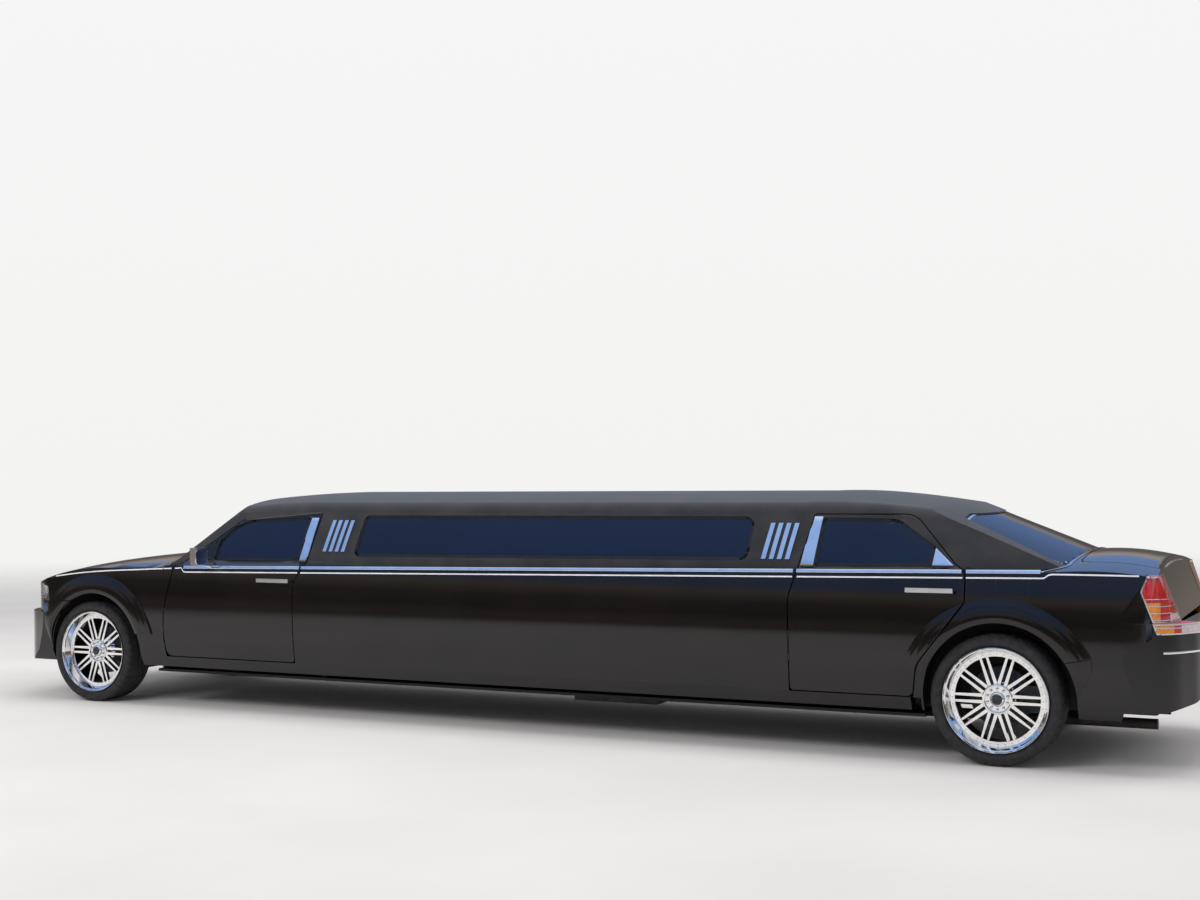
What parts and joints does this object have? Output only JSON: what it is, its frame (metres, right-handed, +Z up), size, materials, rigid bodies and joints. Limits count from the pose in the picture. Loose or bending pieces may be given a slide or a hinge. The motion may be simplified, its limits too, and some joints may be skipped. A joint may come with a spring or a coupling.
{
  "type": "stretch limousine",
  "caption": "Stretched four-door saloon with a vinyl roof, long side windows, chrome spoked wheels, opening doors, hood and trunk",
  "frame": {"origin": "on the ground, under the middle of the overall length and width", "axes": "+X to the nose, +Y to the car's left, +Z up"},
  "size_m": [8.555, 2.1714, 1.5224],
  "materials": {
    "paint": "high-gloss black paint",
    "roof_vinyl": "matt charcoal grained vinyl",
    "tinted_glass": "very dark tint",
    "clear_glass": "light tint",
    "chrome_trim": "bright chrome",
    "wheel_chrome": "chrome on the spokes, worn steel on the disc",
    "tyre_rubber": "matt black rubber",
    "head_lens": "clear lens",
    "tail_lens": "red, amber and clear lens",
    "cast_parts": "rough casting",
    "engine_alloy": "cast alloy",
    "exhaust_steel": "dull steel",
    "underbody": "satin black underseal",
    "tank_plastic": "moulded black",
    "dash_plastic": "dark grained plastic",
    "wheel_leather": "black leather",
    "seat_leather": "black leather",
    "panel_trim": "dark lacquered panel"
  },
  "bodies": {
    "car_body": {"floor_pan": "underbody", "sills": "paint", "side_panels": "paint", "front_fenders": "paint", "rear_quarters": "paint", "front_bumper": "paint", "rear_bumper": "paint", "headlamps": "head_lens", "taillamps": "tail_lens", "grille": "chrome_trim", "roof_shell": "roof_vinyl", "windshield": "clear_glass", "rear_window": "tinted_glass", "side_windows": "tinted_glass", "opera_bars": "chrome_trim", "front_subframe": "cast_parts", "rear_axle": "cast_parts", "engine_block": "engine_alloy", "drive_shaft": "cast_parts", "exhaust": "exhaust_steel", "fuel_tank": "tank_plastic", "cowl_firewall": "paint", "rear_bulkhead": "paint", "dashboard": "dash_plastic", "steering_wheel": "wheel_leather", "front_seats": "seat_leather", "partition": "panel_trim", "lounge_seat": "seat_leather"},
    "hood_body": {"hood": "paint"},
    "trunk_body": {"trunk_lid": "paint"},
    "front_left_door": {"door_front_left": "paint", "glass_front_left": "tinted_glass", "trim_front_left": "chrome_trim"},
    "rear_left_door": {"door_rear_left": "paint", "glass_rear_left": "tinted_glass", "trim_rear_left": "chrome_trim"},
    "steer_left_body": {"knuckle_left": "cast_parts"},
    "front_left_wheel": {"wheel_front_left": "wheel_chrome", "tyre_front_left": "tyre_rubber"},
    "rear_left_wheel": {"wheel_rear_left": "wheel_chrome", "tyre_rear_left": "tyre_rubber"},
    "front_right_door": {"door_front_right": "paint", "glass_front_right": "tinted_glass", "trim_front_right": "chrome_trim"},
    "rear_right_door": {"door_rear_right": "paint", "glass_rear_right": "tinted_glass", "trim_rear_right": "chrome_trim"},
    "steer_right_body": {"knuckle_right": "cast_parts"},
    "front_right_wheel": {"wheel_front_right": "wheel_chrome", "tyre_front_right": "tyre_rubber"},
    "rear_right_wheel": {"wheel_rear_right": "wheel_chrome", "tyre_rear_right": "tyre_rubber"}
  },
  "joints": [
    {"name": "front_door_left", "type": "hinge", "parent": "car_body", "child": "front_left_door", "pos_m": [2.729, 0.925, 0.625], "axis": [0, 0, -1], "range_deg": [0, 65]},
    {"name": "rear_door_left", "type": "hinge", "parent": "car_body", "child": "rear_left_door", "pos_m": [-1.982, 0.925, 0.625], "axis": [0, 0, -1], "range_deg": [0, 62]},
    {"name": "front_door_right", "type": "hinge", "parent": "car_body", "child": "front_right_door", "pos_m": [2.729, -0.925, 0.625], "axis": [0, 0, 1], "range_deg": [0, 65]},
    {"name": "rear_door_right", "type": "hinge", "parent": "car_body", "child": "rear_right_door", "pos_m": [-1.982, -0.925, 0.625], "axis": [0, 0, 1], "range_deg": [0, 62]},
    {"name": "hood_hinge", "type": "hinge", "parent": "car_body", "child": "hood_body", "pos_m": [2.821, 0, 1.016], "axis": [0, -1, 0], "range_deg": [0, 48]},
    {"name": "trunk_hinge", "type": "hinge", "parent": "car_body", "child": "trunk_body", "pos_m": [-3.6005, 0, 1.164], "axis": [0, 1, 0], "range_deg": [0, 75]},
    {"name": "steer_left", "type": "hinge", "parent": "car_body", "child": "steer_left_body", "pos_m": [3.4275, 0.69, 0.366], "axis": [0, 0, 1], "range_deg": [-30, 30]},
    {"name": "steer_right", "type": "hinge", "parent": "car_body", "child": "steer_right_body", "pos_m": [3.4275, -0.69, 0.366], "axis": [0, 0, 1], "range_deg": [-30, 30]},
    {"name": "spin_front_left", "type": "hinge", "parent": "steer_left_body", "child": "front_left_wheel", "pos_m": [3.4275, 0.785, 0.366], "axis": [0, 1, 0], "continuous": true},
    {"name": "spin_front_right", "type": "hinge", "parent": "steer_right_body", "child": "front_right_wheel", "pos_m": [3.4275, -0.785, 0.366], "axis": [0, 1, 0], "continuous": true},
    {"name": "spin_rear_left", "type": "hinge", "parent": "car_body", "child": "rear_left_wheel", "pos_m": [-3.1765, 0.785, 0.366], "axis": [0, 1, 0], "continuous": true},
    {"name": "spin_rear_right", "type": "hinge", "parent": "car_body", "child": "rear_right_wheel", "pos_m": [-3.1765, -0.785, 0.366], "axis": [0, 1, 0], "continuous": true}
  ],
  "couplings": [
    {"joint": "steer_right", "follows": "steer_left", "ratio": 1}
  ]
}
